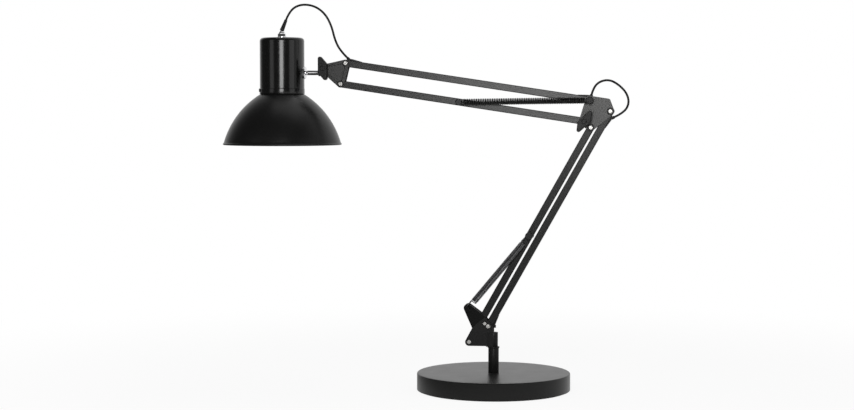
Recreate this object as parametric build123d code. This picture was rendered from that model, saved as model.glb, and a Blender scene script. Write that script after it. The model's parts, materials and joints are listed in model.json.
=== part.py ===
from build123d import *
import os
from math import atan2, cos, hypot, pi, radians, sin, sqrt, tan

import numpy as np

# A spring-balanced desk lamp on a round weighted base. Millimetres, +Z up, origin at the centre of
# the underside. The arms swing in the XZ plane, the head hangs over -X and the wing nuts face -Y.

os.makedirs("parts", exist_ok=True)

# ---- driving dimensions ----

# round base
base_radius = 109.0
base_top = 25.2
cover_wall = 1.2
cover_lift = 1.0
cover_edge_round = 1.6
pad_thick = 1.6
pad_margin = 3.0
plate_thick = 1.0
ballast_thick = 11.0
ballast_rim = 8.0

# socket on the base and the pin that turns in it
socket_radius = 7.5
socket_bore_radius = 6.0
socket_height = 35.3
socket_floor = 2.5
socket_stem_radius = 5.0
socket_nut_width = 16.0
socket_nut_height = 6.0
socket_nut_flange_radius = 12.0
socket_nut_flange_thick = 1.0
bush_flange_radius = 8.4
bush_flange_thick = 1.6
bush_floor = 1.5
pin_radius = 5.0
pin_chamfer = 0.6

# arms: pivots in the XZ plane
right_foot_set_back = 7.0      # the lower right tube's foot pivot is this far behind the swivel's axis
right_foot_lift = 8.9          # and this far above the knuckle
lower_step = (27.4, 22.7)      # from the left pivot up to the right one, the same at both ends
lower_length = 350.0
lower_angle = 60.7
elbow_step = (-28.7, 15.4)     # from the lower right tube's top pivot to the upper top tube's pivot
upper_step = (7.2, 29.5)       # from the bottom tube's pivot up to the top tube's, at both ends
upper_length = 352.0
upper_angle = 171.37

# square tubes
tube_size = 10.0
tube_wall = 1.0
tube_corner = 1.0
tube_end = 2.0                 # the tube runs this far past its pivot
end_radius = 5.4               # the end bush is rounded about the pivot
bush_depth = 7.0

# sheet metal and the stack at each pivot
sheet = 1.2
washer_thick = 0.3
washer_radius = 4.5
side_gap = 0.05                # between a tube and its washers
ring_thick = 0.6
elbow_ring_radius = 5.2
head_ring_radius = 4.7
rivet_radius = 2.0
rivet_head_radius = 3.4
rivet_head_height = 1.7
small_rivet_radius = 1.3
small_rivet_head_radius = 2.3
small_rivet_head_height = 1.0
running_gap = 0.05
open_pivot_gap = 0.12          # the second pivot of each parallelogram

# bracket on the swivel pin
bracket_lobe = 5.5
bracket_corner = 0.5            # the round at the bracket's corners
bracket_back_step = (5.2, 20.4)    # from the left foot pivot to the bracket's back corner
bracket_front_step = (-4.5, 12.5)  # from the right foot pivot to the bracket's top corner
knuckle_height = 20.2
knuckle_drop = 1.0              # the knuckle hangs this far below the plates
seat_gap = 0.3                  # between the knuckle and the bush it turns on
pin_set_back = 0.5              # the pin ends this far below the knuckle's top
joggle_start = 9.0              # the plates bend in to the pin from this far behind its axis
joggle_end = 5.0
lever_hook_step = (-29.5, 24.4) # from the right foot pivot to the springs' peg
lever_lobe_step = (-29.3, 25.8)
lever_lobe = 5.8
lever_rivet_step = (-4.8, 4.0)
lever_foot_lobe = 4.9
lever_corners = [               # steps from the right foot pivot, each with its radius
    (-11.9, 18.5, 1.4), (-22.0, -2.3, 1.2), (-17.0, -7.0, 3.0),
]

# elbow and head plates
elbow_corner_step = (-3.8, 14.5)   # from the lower right tube's top pivot
elbow_corner_radius = 3.4
elbow_tail_step = (-5.6, -1.3)     # from the bottom tube's elbow pivot
elbow_tail_radius = 3.0
elbow_lobe_top = 6.3
elbow_lobe = 5.0
head_bolt_step = (-31.5, -7.4)  # from the top tube's pivot to the head's clamp bolt
head_lobe_bolt = 5.8
head_lobe_tube = 5.2

# springs
wire = 1.2
spring_radius = 4.15            # to the middle of the wire
stud_radius = 2.2
hook_gap = 0.5
upper_turns = 47
lower_turns = 26
upper_spring_lead = 7.2
lower_spring_lead = 14.0
upper_shank = 1.2
lower_shank = 8.0
hook_open_angle = 60.0
coil_start_angle = 50.0
spring_gap = 0.8                # between the coil and the sheet beside it
upper_anchor_at = 179.5         # along the bottom tube, from its elbow pivot
lower_anchor_at = 174.5         # along the left tube, from its foot pivot
cap_radius = 5.3
cap_height = 2.8
cap_slot_width = 1.2
cap_slot_depth = 0.8
cap_edge_round = 1.0
cap_slot_angle = 45.0
peg_head_radius = 3.8
anchor_head_radius = 4.6
anchor_head_height = 1.6

# wing nuts and their bolts
wing_half_length = 13.9
wing_offset = 3.7
wing_tip_radius = 2.8
wing_shoulder = (3.9, 5.5)
wing_hub_radius = 6.2
wing_hub_height = 11.0
wing_clear = 3.0                # the wings start this far in front of the hub's foot
wing_dome_radius = 3.4
wing_dome_height = 1.3
wing_edge_round = 1.2
wing_shoulder_radius = 2.6
wing_bore_end = 2.2             # the blind bore ends this far behind the hub's top
bolt_end = 2.5                  # and the bolt this far
elbow_wing_angle = -48.0
head_wing_angle = 0.0
elbow_bolt_radius = 2.5
head_bolt_radius = 3.0
bolt_head_radius = 4.8
bolt_head_height = 3.0

# knuckle and rod of the head
eye_radius = 6.6
disc_thick = 0.6
rod_drop = 5.9                  # the rod runs this far below the clamp bolt
rod_radius = 3.5
rod_collar_radius = 5.0
rod_collar_thick = 2.5
rod_collar_reach = 8.6          # from the clamp bolt to the collar's far face
rod_stem_radius = 2.6
rod_nut_width = 11.0
rod_nut_thick = 4.0
flange_radius = 8.85
flange_thick = 3.0
flange_spigot_radius = 5.2
flange_edge = 1.2
rod_spigot_depth = 4.4          # the flange's spigot reaches this far inside the housing's radius
rod_tip_past_nut = 1.0
rod_stem_length = 3.0

# head
head_axis_reach = 62.2          # from the clamp bolt to the head's axis
housing_radius = 32.0
housing_wall = 1.0
housing_above_rod = 50.2
housing_below_rod = 30.3
housing_edge_round = 5.0
band_height = 7.2
band_extra = 0.4
shade_mouth_radius = 84.5
shade_height = 71.8
shade_arc_radius = 120.3
shade_wall = 0.9
shade_neck_height = 12.0
shade_rim = 1.3
neck_gap = 0.1
screw_radius = 1.5
screw_head_radius = 2.4
screw_lift = 5.3                # above the housing's lower edge
screw_count = 3
screw_first_angle = -36.6

# lampholder and lamp
holder_gap = 2.05               # between the rod's tip and the lampholder
holder_lift = 18.7              # above the housing's lower edge
holder_length = 49.0
holder_chamfer = 4.0
holder_neck_radius = 11.0
holder_neck_length = 7.0
holder_bore_radius = 13.6
holder_bore_depth = 30.0
lamp_cap_radius = 13.2
lamp_cap_height = 27.0
lamp_cap_gap = 0.5
lamp_cap_chamfer = 3.0
lamp_cap_wall = 0.8
glass_wall = 1.0
glass_radius = 30.0
glass_neck_radius = 13.0
glass_length = 78.0
glass_neck_length = 4.0
glass_shoulder_angle = 38.0     # the ball ends this far above its middle
contact_radius = 4.0
contact_height = 2.0

# cord and its fittings
cord_diameter = 3.1
nipple_radius = 6.8
nipple_height = 10.7
nipple_round = 3.3
nipple_stem_radius = 4.9
nipple_stem_grip = 4.0          # how far the stem goes into the lampholder's neck
relief_length = 15.8
relief_lean = 67.5              # degrees above the +X direction
relief_first_run = 15.0         # the cord's straight start beyond it
relief_foot_radius = 2.9
relief_tip_radius = 2.0
insert_length = 19.0
insert_half_width = 2.6
insert_thick = 2.2
insert_thin = 0.4
insert_flat = 5.0
insert_stub = 6.0
insert_stub_half_width = 1.9
insert_stub_depth = 1.5
insert_stub_gap = 0.5           # between the stub and the end bush
slot_gap = 0.05
mouth_radius = 2.2
mouth_length = 4.0
mouth_proud = 2.4
outlet_lean = 150.0             # the lowest mouth's turn from the arm's direction
foot_insert_at = 1.5            # each insert's thick end, from its tube's pivot
top_insert_at = 5.0
elbow_insert_at = -1.0
head_insert_at = 3.0
inner_cord_gap = 0.1

# the free cord's two loops, as chosen by hand in the XZ plane: each point is a step from a pivot
head_cord_steps = [             # from the upper top tube's head pivot, after the strain relief
    (-66.6, 84.6), (-46.6, 82.6), (-30.6, 71.1), (-21.1, 53.1),
    (-16.6, 34.1), (-9.1, 18.6), (1.9, 7.6),
]
elbow_cord_steps = [            # from the lower right tube's top pivot
    (-26.7, 23.5), (-23.5, 34.6), (-13.8, 42.6), (-0.8, 44.1), (12.2, 36.5),
    (22.9, 24.8), (25.9, 10.8), (18.7, -1.7), (5.2, -8.1),
]


# ---- worked out from the driving dimensions ----

def step(point, offset, sign=1):
    return (point[0] + sign * offset[0], point[1] + sign * offset[1])


def along(point, angle, distance):
    return (point[0] + distance * cos(radians(angle)), point[1] + distance * sin(radians(angle)))


half_tube = tube_size / 2
plate_inner = half_tube + 2 * side_gap + washer_thick
plate_outer = plate_inner + sheet
ring_outer = plate_outer + ring_thick
bracket_outer = plate_outer + sheet
socket_top = base_top + socket_height
ballast_top = base_top - cover_wall
ballast_underside = ballast_top - ballast_thick
plate_top = pad_thick + plate_thick
knuckle_bottom = socket_top + bush_flange_thick + seat_gap
knuckle_top = knuckle_bottom + knuckle_height
plate_bottom = knuckle_bottom + knuckle_drop
pin_top = knuckle_top - pin_set_back

lower_right_foot = (-right_foot_set_back, knuckle_top + right_foot_lift)
lower_left_foot = step(lower_right_foot, lower_step, -1)
lower_right_top = along(lower_right_foot, lower_angle, lower_length)
lower_left_top = step(lower_right_top, lower_step, -1)
upper_top_elbow = step(lower_right_top, elbow_step)
upper_bottom_elbow = step(upper_top_elbow, upper_step, -1)
upper_top_head = along(upper_top_elbow, upper_angle, upper_length)
upper_bottom_head = step(upper_top_head, upper_step, -1)
head_bolt = step(upper_top_head, head_bolt_step)
head_axis = head_bolt[0] - head_axis_reach
rod_height = head_bolt[1] - rod_drop
housing_top = rod_height + housing_above_rod
housing_bottom = rod_height - housing_below_rod
shade_mouth = housing_bottom - shade_height
screw_height = housing_bottom + screw_lift
holder_bottom = housing_bottom + holder_lift
holder_top = holder_bottom + holder_length
holder_neck_top = holder_top + holder_neck_length
upper_anchor = along(upper_bottom_elbow, upper_angle, upper_anchor_at)
lower_anchor = along(lower_left_foot, lower_angle, lower_anchor_at)
lever_hook = step(lower_right_foot, lever_hook_step)
lever_rivet = step(lower_right_foot, lever_rivet_step)

spring_y_upper = -(plate_outer + spring_gap + spring_radius + wire / 2)
spring_y_lower = half_tube + spring_gap + spring_radius + wire / 2
hook_radius = stud_radius + hook_gap + wire / 2
hook_half = wire / 2 + hook_gap
slot_at = bush_depth + insert_stub_gap + insert_stub / 2
rod_nut_depth = rod_spigot_depth + rod_nut_thick + side_gap
rod_tip_depth = rod_nut_depth + rod_tip_past_nut
holder_radius = housing_radius - rod_tip_depth - holder_gap
nipple_top = (head_axis, housing_top + nipple_height)
relief_tip = along(nipple_top, relief_lean, relief_length)

head_cord_route = [relief_tip, along(relief_tip, relief_lean, relief_first_run)]
head_cord_route += [step(upper_top_head, offset) for offset in head_cord_steps]
elbow_cord_route = [step(lower_right_top, offset) for offset in elbow_cord_steps]


# ---- shared shapes ----

def slab(face, y_low, y_high):
    """A flat outline in the XZ plane, given depth from y_low to y_high."""
    return extrude(Plane.XZ.offset(-y_high) * face, y_high - y_low)


def bar(point, radius, y_low, y_high):
    return slab(Pos(*point) * Circle(radius), y_low, y_high)


def rounded_outline(corners):
    """The tight outline round circles (x, z, radius), which are named anticlockwise."""
    count = len(corners)
    normals = []
    for i in range(count):
        x0, z0, r0 = corners[i]
        x1, z1, r1 = corners[(i + 1) % count]
        length = hypot(x1 - x0, z1 - z0)
        ux, uz = (x1 - x0) / length, (z1 - z0) / length
        lean = (r0 - r1) / length
        side = sqrt(1 - lean**2)
        normals.append((ux * lean + uz * side, uz * lean - ux * side))
    edges = []
    for i in range(count):
        x, z, r = corners[i]
        before, after = normals[i - 1], normals[i]
        first, last = atan2(before[1], before[0]), atan2(after[1], after[0])
        middle = first + ((last - first) % (2 * pi)) / 2
        start = Vector(x + r * before[0], z + r * before[1])
        top = Vector(x + r * cos(middle), z + r * sin(middle))
        end = Vector(x + r * after[0], z + r * after[1])
        edges.append(Edge.make_three_point_arc(start, top, end))
        nx, nz, nr = corners[(i + 1) % count]
        edges.append(Edge.make_line(end, Vector(nx + nr * after[0], nz + nr * after[1])))
    return make_face(edges)


def circle_at(point, radius):
    return (point[0], point[1], radius)


def arm_frame(foot, angle):
    """Local x runs along the arm, local z faces -Y."""
    direction = (cos(radians(angle)), 0, sin(radians(angle)))
    return Plane(origin=(foot[0], 0, foot[1]), x_dir=direction, z_dir=(0, -1, 0))


def hexagon(width, thick):
    return extrude(RegularPolygon(width / 2, 6, major_radius=False), thick)


def tube_part(foot, angle, length, pivots, slots=(), cross_holes=()):
    """A square tube with its pivot holes, cord slots on its local -y side and cross holes."""
    long = length + 2 * tube_end
    outer = Box(long, tube_size, tube_size)
    outer = fillet(outer.edges().filter_by(Axis.X), tube_corner)
    bore = tube_size - 2 * tube_wall
    tube = Pos(length / 2, 0, 0) * (outer - Box(long, bore, bore))
    for at, radius in zip((0, length), pivots):
        tube -= Pos(at, 0, 0) * Cylinder(radius + open_pivot_gap, 2 * tube_size)
    for at in cross_holes:
        tube -= Pos(at, 0, 0) * Cylinder(stud_radius, 2 * tube_size)
    for at in slots:
        tube -= Pos(at, -half_tube, 0) * Box(
            insert_stub + 2 * slot_gap, 3 * tube_wall, 2 * (insert_stub_half_width + slot_gap))
    return arm_frame(foot, angle) * tube


def end_bushes(foot, angle, length, gaps):
    """The two plastic bushes in a tube's ends, each rounded about its pivot."""
    bore = tube_size - 2 * tube_wall
    made = []
    for at, side, gap in ((0, 1, gaps[0]), (length, -1, gaps[1])):
        stem_length = tube_end + bush_depth
        stem = Pos(stem_length / 2 - tube_end, 0, 0) * Box(stem_length, bore, bore)
        head_length = end_radius - tube_end
        head = Pos(-tube_end - head_length / 2, 0, 0) * Box(head_length, tube_size, tube_size)
        head = head & Cylinder(end_radius, tube_size)
        bush = stem + head - Cylinder(gap, 2 * tube_size)
        if side < 0:
            bush = Rot(0, 0, 180) * bush
        made.append(arm_frame(foot, angle) * Pos(at, 0, 0) * bush)
    return made


def cord_insert(foot, angle, start, run, slot, mouth_tip, mouth_direction):
    """A wedge-shaped grommet on the tube's local -y side, with the cord's mouth at mouth_tip.

    start is its thick end along the arm, run is +1 or -1, the way it tapers, and slot is the
    middle of the tube's slot, which its stub goes through.
    """
    profile = make_face(Polyline(
        (0, -half_tube), (0, -half_tube - insert_thick), (run * insert_flat, -half_tube - insert_thick),
        (run * insert_length, -half_tube - insert_thin), (run * insert_length, -half_tube),
        close=True).edges())
    body = Pos(start, 0, -insert_half_width) * extrude(profile, 2 * insert_half_width, dir=(0, 0, 1))
    stub = Pos(slot, -half_tube + insert_stub_depth / 2, 0) * Box(
        insert_stub, insert_stub_depth, 2 * insert_stub_half_width)
    placed = arm_frame(foot, angle) * (body + stub)
    tip = Vector(mouth_tip[0], 0, mouth_tip[1])
    outward = Vector(mouth_direction[0], 0, mouth_direction[1]).normalized()
    mouth = Plane(origin=tip - outward * mouth_length, z_dir=outward) * Cylinder(
        mouth_radius, mouth_length, align=(Align.CENTER, Align.CENTER, Align.MIN))
    inside = arm_frame(foot, angle) * Pos(start, 0, 0) * Box(
        4 * insert_length, tube_size, tube_size)
    return placed + (mouth - inside)


def write(name, *solids):
    shape = solids[0] if len(solids) == 1 else Compound(children=list(solids))
    export_step(shape, f"parts/{name}.step")
    print(name, round(sum(s.volume for s in solids)))


# ---- base ----

def make_base():
    skirt = Pos(0, 0, cover_lift) * Cylinder(
        base_radius, base_top - cover_lift, align=(Align.CENTER, Align.CENTER, Align.MIN))
    skirt = fillet(skirt.edges().sort_by(Axis.Z)[-1], cover_edge_round)
    hollow = Pos(0, 0, cover_lift) * Cylinder(
        base_radius - cover_wall, base_top - cover_wall - cover_lift,
        align=(Align.CENTER, Align.CENTER, Align.MIN))
    hollow = fillet(hollow.edges().sort_by(Axis.Z)[-1], cover_edge_round - cover_wall / 2)
    cover = skirt - hollow - Pos(0, 0, base_top) * Cylinder(socket_stem_radius, 4 * cover_wall)
    write("base_cover", cover)

    room = base_radius - cover_wall - neck_gap
    ballast = disc(room - cover_edge_round, ballast_underside, ballast_top)
    rim = disc(room - cover_edge_round, plate_top, ballast_top)
    rim -= disc(room - cover_edge_round - ballast_rim, plate_top, ballast_underside)
    ballast = ballast + rim - disc(socket_stem_radius, plate_top, ballast_top)
    write("base_ballast", ballast)

    write("base_plate", disc(room, pad_thick, plate_top))
    write("base_pad", disc(base_radius - pad_margin, 0, pad_thick))


def disc(radius, z_low, z_high):
    return Pos(0, 0, z_low) * Cylinder(
        radius, z_high - z_low, align=(Align.CENTER, Align.CENTER, Align.MIN))


def make_socket():
    nut_top = ballast_underside
    nut_low = nut_top - socket_nut_height
    tube = disc(socket_radius, base_top, socket_top) - disc(
        socket_bore_radius, base_top + socket_floor, socket_top)
    tube += disc(socket_stem_radius, nut_low, base_top)
    write("socket_tube", tube)

    nut = Pos(0, 0, nut_low) * hexagon(socket_nut_width, socket_nut_height)
    nut += disc(socket_nut_flange_radius, nut_top - socket_nut_flange_thick, nut_top)
    write("socket_nut", nut - disc(socket_stem_radius, nut_low, nut_top))

    bush_low = base_top + socket_floor
    bush = disc(socket_bore_radius, bush_low, socket_top)
    bush += disc(bush_flange_radius, socket_top, socket_top + bush_flange_thick)
    bush -= disc(pin_radius + running_gap, bush_low + bush_floor, socket_top + bush_flange_thick)
    write("socket_bush", bush)


# ---- bracket on the swivel pin ----

def make_bracket():
    pin_low = base_top + socket_floor + bush_floor + side_gap
    write("swivel_pin", chamfer(disc(pin_radius, pin_low, pin_top).edges(), pin_chamfer))

    outline = rounded_outline([
        (-bracket_corner, plate_bottom + bracket_corner, bracket_corner),
        (-bracket_corner, lower_right_foot[1], bracket_corner),
        circle_at(step(lower_right_foot, bracket_front_step), bracket_corner),
        circle_at(step(lower_left_foot, bracket_back_step), bracket_corner),
        circle_at(lower_left_foot, bracket_lobe),
    ])
    plates = slab(outline, -bracket_outer, -plate_outer) + slab(outline, plate_outer, bracket_outer)
    knuckle_room = slab(
        Pos(0, (plate_bottom + knuckle_top) / 2) * Rectangle(2 * joggle_start, 2 * knuckle_top),
        -2 * bracket_outer, 2 * bracket_outer) & Pos(0, 0, knuckle_bottom) * Box(
        4 * joggle_start, 4 * bracket_outer, knuckle_top - knuckle_bottom,
        align=(Align.CENTER, Align.CENTER, Align.MIN))
    knuckle = Pos(0, 0, knuckle_bottom) * extrude(knuckle_section(), knuckle_top - knuckle_bottom)
    tail = Pos(-joggle_start - 1, 0, knuckle_bottom) * Box(
        4, 4 * bracket_outer, plate_bottom - knuckle_bottom, align=(Align.MAX, Align.CENTER, Align.MIN))
    shell = (plates - knuckle_room) + (knuckle - tail)
    for foot in (lower_left_foot, lower_right_foot):
        shell -= bar(foot, rivet_radius, -2 * bracket_outer, 2 * bracket_outer)
    shell -= bar(lever_rivet, small_rivet_radius, -2 * bracket_outer, 2 * bracket_outer)
    write("bracket_shell", shell)

    top, back, belly = [circle_at(step(lower_right_foot, (dx, dz)), r) for dx, dz, r in lever_corners]
    lever = rounded_outline([
        circle_at(lower_right_foot, lever_foot_lobe), top,
        circle_at(step(lower_right_foot, lever_lobe_step), lever_lobe), back, belly,
    ])
    levers = []
    for low, high in ((-plate_outer, -plate_inner), (plate_inner, plate_outer)):
        plate = slab(lever, low, high) - bar(lower_right_foot, rivet_radius, low, high)
        plate -= bar(lever_rivet, small_rivet_radius, low, high)
        levers.append(plate - bar(lever_hook, stud_radius, low, high))
    write("spring_levers", *levers)

    write("shoulder_rivets", *[
        rivet(foot, rivet_radius, bracket_outer) for foot in (lower_left_foot, lower_right_foot)])
    small = []
    for low, high in ((-bracket_outer, -plate_inner), (plate_inner, bracket_outer)):
        pin = bar(lever_rivet, small_rivet_radius, low, high)
        face = -bracket_outer - small_rivet_head_height if low < 0 else bracket_outer
        pin += bar(lever_rivet, small_rivet_head_radius, face, face + small_rivet_head_height)
        small.append(pin)
    write("lever_rivets", *small)

    washers = []
    for side in (-1, 1):
        washers.append(washer(lower_right_foot, washer_radius, rivet_radius, side,
                              half_tube + side_gap, half_tube + side_gap + washer_thick))
        washers.append(washer(lower_left_foot, washer_radius, rivet_radius, side,
                              half_tube + side_gap, plate_outer - side_gap))
    write("shoulder_washers", *washers)

    reach = spring_y_lower + hook_half
    pegs = []
    for side in (-1, 1):
        near, far = sorted((side * plate_inner, side * reach))
        low = near - anchor_head_height if side < 0 else far
        peg = bar(lever_hook, stud_radius, near, far)
        pegs.append(peg + bar(lever_hook, peg_head_radius, low, low + anchor_head_height))
    write("lever_pegs", *pegs)


def knuckle_section():
    """The folded sheet's cross-section round the pin, open towards -X."""
    outer = pin_radius + sheet
    face = make_face([
        Edge.make_line((-joggle_start - 1, -bracket_outer), (-joggle_start, -bracket_outer)),
        Edge.make_line((-joggle_start, -bracket_outer), (-joggle_end, -outer)),
        Edge.make_line((-joggle_end, -outer), (0, -outer)),
        Edge.make_three_point_arc((0, -outer), (outer, 0), (0, outer)),
        Edge.make_line((0, outer), (-joggle_end, outer)),
        Edge.make_line((-joggle_end, outer), (-joggle_start, bracket_outer)),
        Edge.make_line((-joggle_start, bracket_outer), (-joggle_start - 1, bracket_outer)),
        Edge.make_line((-joggle_start - 1, bracket_outer), (-joggle_start - 1, plate_outer)),
        Edge.make_line((-joggle_start - 1, plate_outer), (-joggle_start, plate_outer)),
        Edge.make_line((-joggle_start, plate_outer), (-joggle_end, pin_radius)),
        Edge.make_line((-joggle_end, pin_radius), (0, pin_radius)),
        Edge.make_three_point_arc((0, pin_radius), (pin_radius, 0), (0, -pin_radius)),
        Edge.make_line((0, -pin_radius), (-joggle_end, -pin_radius)),
        Edge.make_line((-joggle_end, -pin_radius), (-joggle_start, -plate_outer)),
        Edge.make_line((-joggle_start, -plate_outer), (-joggle_start - 1, -plate_outer)),
        Edge.make_line((-joggle_start - 1, -plate_outer), (-joggle_start - 1, -bracket_outer)),
    ])
    return face


def rivet(point, radius, seat):
    """A rivet through the stack, with a rounded head on each side at y = +-seat."""
    shape = bar(point, radius, -seat, seat)
    for side in (-1, 1):
        low = seat if side > 0 else -seat - rivet_head_height
        head = bar(point, rivet_head_radius, low, low + rivet_head_height)
        rim = head.edges().sort_by(Axis.Y)[-1 if side > 0 else 0]
        shape += fillet(rim, rivet_head_height * 0.75)
    return shape


def washer(point, outer, inner, side, near, far):
    low, high = (near, far) if side > 0 else (-far, -near)
    return bar(point, outer, low, high) - bar(point, inner, low, high)


# ---- lower arm ----

def make_lower_arm():
    tight = rivet_radius + running_gap
    loose = rivet_radius + open_pivot_gap
    slots = (slot_at, lower_length - slot_at)
    pivots = (rivet_radius, rivet_radius)
    write("lower_right_tube",
          tube_part(lower_right_foot, lower_angle, lower_length, pivots, slots=slots))
    write("lower_right_bushes",
          *end_bushes(lower_right_foot, lower_angle, lower_length, (tight, tight)))
    outlet = along(along(lower_right_foot, lower_angle, foot_insert_at + insert_flat / 2),
                   lower_angle - 90, half_tube + insert_thick)
    low_mouth = along(outlet, lower_angle - outlet_lean, mouth_proud)
    end, before = elbow_cord_route[-1], elbow_cord_route[-2]
    write("lower_cord_inserts",
          cord_insert(lower_right_foot, lower_angle, foot_insert_at, 1, slots[0], low_mouth,
                      along((0, 0), lower_angle - outlet_lean, 1)),
          cord_insert(lower_right_foot, lower_angle, lower_length - top_insert_at, -1, slots[1], end,
                      (before[0] - end[0], before[1] - end[1])))
    write("lower_inner_cord", inner_cord(lower_right_foot, lower_angle, slots))

    write("lower_left_tube", tube_part(
        lower_left_foot, lower_angle, lower_length, pivots, cross_holes=(lower_anchor_at,)))
    write("lower_left_bushes",
          *end_bushes(lower_left_foot, lower_angle, lower_length, (tight, loose)))
    reach = spring_y_lower + hook_half
    write("lower_spring_bolt", bar(lower_anchor, stud_radius, -reach, reach))
    write("lower_spring_caps", *[
        spring_cap(lower_anchor, side, reach) for side in (-1, 1)])


def inner_cord(foot, angle, slots):
    """The cord inside a tube, from one insert's stub to the other's."""
    start, end = min(slots), max(slots)
    radius = cord_diameter / 2
    y = -half_tube + insert_stub_depth + inner_cord_gap + radius
    rod = Cylinder(radius, end - start, rotation=(0, 90, 0))
    return arm_frame(foot, angle) * Pos((start + end) / 2, y, 0) * rod


def spring_cap(point, side, seat):
    """A slotted round plastic cap over a spring stud."""
    low = seat if side > 0 else -seat - cap_height
    cap = bar(point, cap_radius, low, low + cap_height)
    rim = cap.edges().sort_by(Axis.Y)[-1 if side > 0 else 0]
    cap = fillet(rim, cap_edge_round)
    face = low + cap_height - cap_slot_depth if side > 0 else low
    slot = slab(Pos(*point) * Rot(0, 0, cap_slot_angle) * Rectangle(cap_slot_width, 1.5 * cap_radius),
                face, face + cap_slot_depth)
    return cap - slot


# ---- elbow ----

def make_elbow():
    outline = rounded_outline([
        circle_at(lower_left_top, elbow_lobe),
        circle_at(lower_right_top, elbow_lobe),
        circle_at(step(lower_right_top, elbow_corner_step), elbow_corner_radius),
        circle_at(upper_top_elbow, elbow_lobe_top),
        circle_at(step(upper_bottom_elbow, elbow_tail_step), elbow_tail_radius),
    ])
    holes = (
        (lower_left_top, rivet_radius), (lower_right_top, rivet_radius),
        (upper_top_elbow, rivet_radius), (upper_bottom_elbow, elbow_bolt_radius))
    plates = plate_pair(outline, holes)
    write("elbow_plates", *plates)
    write("elbow_rivets", *[
        rivet(point, rivet_radius, ring_outer) for point in (lower_left_top, lower_right_top)])
    washers, rings = [], []
    for point, hole in holes:
        for side in (-1, 1):
            washers.append(washer(point, washer_radius, hole, side,
                                  half_tube + side_gap, half_tube + side_gap + washer_thick))
            rings.append(washer(point, elbow_ring_radius, hole, side, plate_outer, ring_outer))
    write("elbow_washers", *washers)
    write("elbow_rings", *rings)

    front = -(spring_y_upper - hook_half)
    stud = bar(upper_top_elbow, rivet_radius, -ring_outer, ring_outer)
    stud += bar(upper_top_elbow, stud_radius, -front, -ring_outer)
    back = bar(upper_top_elbow, rivet_head_radius, ring_outer, ring_outer + rivet_head_height)
    stud += fillet(back.edges().sort_by(Axis.Y)[-1], rivet_head_height * 0.75)
    write("elbow_spring_stud", stud)
    write("elbow_stud_cap", spring_cap(upper_top_elbow, -1, front))

    write("elbow_bolt", clamp_bolt(upper_bottom_elbow, elbow_bolt_radius))
    write("elbow_wing_nut", wing_nut(upper_bottom_elbow, elbow_bolt_radius, elbow_wing_angle))


def plate_pair(outline, holes):
    made = []
    for low, high in ((-plate_outer, -plate_inner), (plate_inner, plate_outer)):
        plate = slab(outline, low, high)
        for point, hole in holes:
            plate -= bar(point, hole, low, high)
        made.append(plate)
    return made


def clamp_bolt(point, radius):
    """A round-headed bolt from the back, its thread ending in the wing nut."""
    tip = ring_outer + wing_hub_height - bolt_end
    bolt = bar(point, radius, -tip, ring_outer)
    head = bar(point, bolt_head_radius, ring_outer, ring_outer + bolt_head_height)
    return bolt + fillet(head.edges().sort_by(Axis.Y)[-1], bolt_head_height * 0.7)


def wing_nut(point, bolt_radius, angle):
    """A moulded wing nut on the front, its blind bore over the bolt's thread."""
    foot = -(ring_outer + side_gap)
    top = foot - wing_hub_height
    tip, off, (sx, sz) = wing_half_length, wing_offset, wing_shoulder
    outline = rounded_outline([
        (off, -tip, wing_tip_radius), (sx, sz, wing_shoulder_radius),
        (-off, tip, wing_tip_radius), (-sx, -sz, wing_shoulder_radius)])
    wings = extrude(outline, wing_hub_height - wing_clear)
    wings = fillet(wings.faces().sort_by(Axis.Z)[-1].edges(), wing_edge_round)
    wings = Plane(origin=(point[0], top + wing_hub_height - wing_clear, point[1]),
                  x_dir=(1, 0, 0), z_dir=(0, -1, 0)) * Rot(0, 0, angle) * wings
    nut = wings + bar(point, wing_hub_radius, top, foot)
    dome = bar(point, wing_dome_radius, top - wing_dome_height, top)
    nut += fillet(dome.edges().sort_by(Axis.Y)[0], wing_dome_height * 0.7)
    return nut - bar(point, bolt_radius + running_gap, top + wing_bore_end, foot)


# ---- upper arm ----

def make_upper_arm():
    tight = rivet_radius + running_gap
    loose = rivet_radius + open_pivot_gap
    slots = (slot_at, upper_length - slot_at)
    write("upper_top_tube", tube_part(
        upper_top_elbow, upper_angle, upper_length, (rivet_radius, rivet_radius), slots=slots))
    write("upper_top_bushes",
          *end_bushes(upper_top_elbow, upper_angle, upper_length, (tight, tight)))
    start, after = elbow_cord_route[0], elbow_cord_route[1]
    end, before = head_cord_route[-1], head_cord_route[-2]
    write("upper_cord_inserts",
          cord_insert(upper_top_elbow, upper_angle, elbow_insert_at, 1, slots[0], start,
                      (after[0] - start[0], after[1] - start[1])),
          cord_insert(upper_top_elbow, upper_angle, upper_length - head_insert_at, -1, slots[1], end,
                      (before[0] - end[0], before[1] - end[1])))
    write("upper_inner_cord", inner_cord(upper_top_elbow, upper_angle, slots))

    write("upper_bottom_tube", tube_part(
        upper_bottom_elbow, upper_angle, upper_length, (elbow_bolt_radius, rivet_radius),
        cross_holes=(upper_anchor_at,)))
    write("upper_bottom_bushes", *end_bushes(
        upper_bottom_elbow, upper_angle, upper_length, (elbow_bolt_radius + running_gap, loose)))
    front = -(spring_y_upper - hook_half)
    screw = bar(upper_anchor, stud_radius, -front, half_tube)
    head = bar(upper_anchor, anchor_head_radius, -front - anchor_head_height, -front)
    screw += fillet(head.edges().sort_by(Axis.Y)[0], anchor_head_height * 0.6)
    screw += bar(upper_anchor, rivet_head_radius, half_tube, half_tube + anchor_head_height)
    write("upper_spring_screw", screw)


# ---- springs ----

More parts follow.
